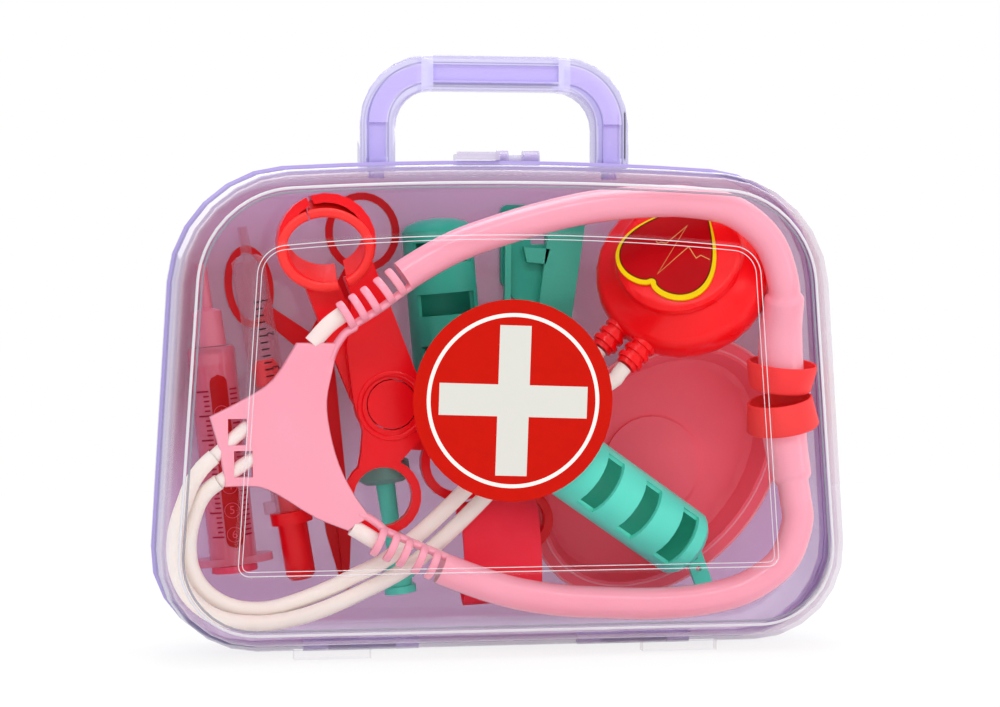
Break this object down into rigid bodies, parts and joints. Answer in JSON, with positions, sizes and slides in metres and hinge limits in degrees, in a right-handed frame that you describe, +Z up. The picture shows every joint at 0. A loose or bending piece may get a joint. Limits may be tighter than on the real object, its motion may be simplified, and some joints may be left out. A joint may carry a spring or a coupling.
{
  "type": "toy doctor case",
  "caption": "Clear hinged toy case with a carry handle and swinging latch, packed with toy doctor's instruments, so the lid, latch, plungers, forceps and scissors move.",
  "frame": {"origin": "middle of the case on the surface that its feet stand on", "axes": "+X along the case's width, +Z up towards the handle, the clear front faces -Y"},
  "size_m": [0.2394, 0.06, 0.2051],
  "materials": {
    "shell_back": "clear tinted, polished",
    "shell_front": "clear, polished",
    "handle": "clear tinted, polished",
    "latch": "milky, glossy",
    "label": "printed film, satin",
    "pink": "glossy",
    "tube": "soft, satin",
    "red": "glossy",
    "red_clear": "clear, polished",
    "dark_red": "glossy",
    "white": "satin",
    "heart": "printed film, satin",
    "teal": "glossy",
    "teal_dark": "glossy",
    "tray": "satin",
    "cuff": "soft, matt"
  },
  "bodies": {
    "case": {"back_shell": "shell_back", "handle": "handle", "headset_yoke": "pink", "headset_arm_upper": "pink", "headset_arm_lower": "pink", "ear_cup_upper": "red", "ear_cup_lower": "red", "yoke_tube_upper": "tube", "yoke_tube_lower": "tube", "sound_tube_outer": "tube", "sound_tube_inner": "tube", "chest_piece_body": "red", "chest_piece_cap": "red", "heart_badge": "heart", "syringe_wide_barrel": "red_clear", "syringe_wide_nozzle": "red_clear", "syringe_slim_barrel": "red_clear", "forceps_right": "red", "forceps_rivet": "red", "scissors_right": "red", "scissors_rivet": "red", "hammer_head": "teal_dark", "hammer_stem": "teal", "scope_front": "teal", "scope_rear": "teal_dark", "scope_lug": "teal", "teal_blade": "teal_dark", "cuff_band": "cuff", "red_ring": "red", "oval_tray": "tray"},
    "lid": {"front_shell": "shell_front", "round_label": "label"},
    "latch": {"latch_clip": "latch"},
    "wide_plunger": {"syringe_wide_plunger": "red", "syringe_wide_seal": "white"},
    "slim_plunger": {"syringe_slim_plunger": "red", "syringe_slim_tip": "dark_red"},
    "forceps_half": {"forceps_left": "red"},
    "scissors_half": {"scissors_left": "red"}
  },
  "joints": [
    {"name": "lid_hinge", "type": "hinge", "parent": "case", "child": "lid", "pos_m": [0, 0, 0.0019], "axis": [1, 0, 0], "range_deg": [0, 160]},
    {"name": "latch_hinge", "type": "hinge", "parent": "case", "child": "latch", "pos_m": [0, 0.0044, 0.1697], "axis": [1, 0, 0], "range_deg": [-100, 0]},
    {"name": "wide_plunger_slide", "type": "slide", "parent": "case", "child": "wide_plunger", "axis": [0.103, 0, -0.9947], "range_m": [0, 0.014]},
    {"name": "slim_plunger_slide", "type": "slide", "parent": "case", "child": "slim_plunger", "axis": [0.1639, 0, -0.9865], "range_m": [0, 0.012]},
    {"name": "forceps_pivot", "type": "hinge", "parent": "case", "child": "forceps_half", "pos_m": [-0.03804, -0.0024, 0.08496], "axis": [0, 1, 0], "range_deg": [-25, 0]},
    {"name": "scissors_pivot", "type": "hinge", "parent": "case", "child": "scissors_half", "pos_m": [-0.06, 0.026, 0.09901], "axis": [0, 1, 0], "range_deg": [-7, 0]}
  ]
}
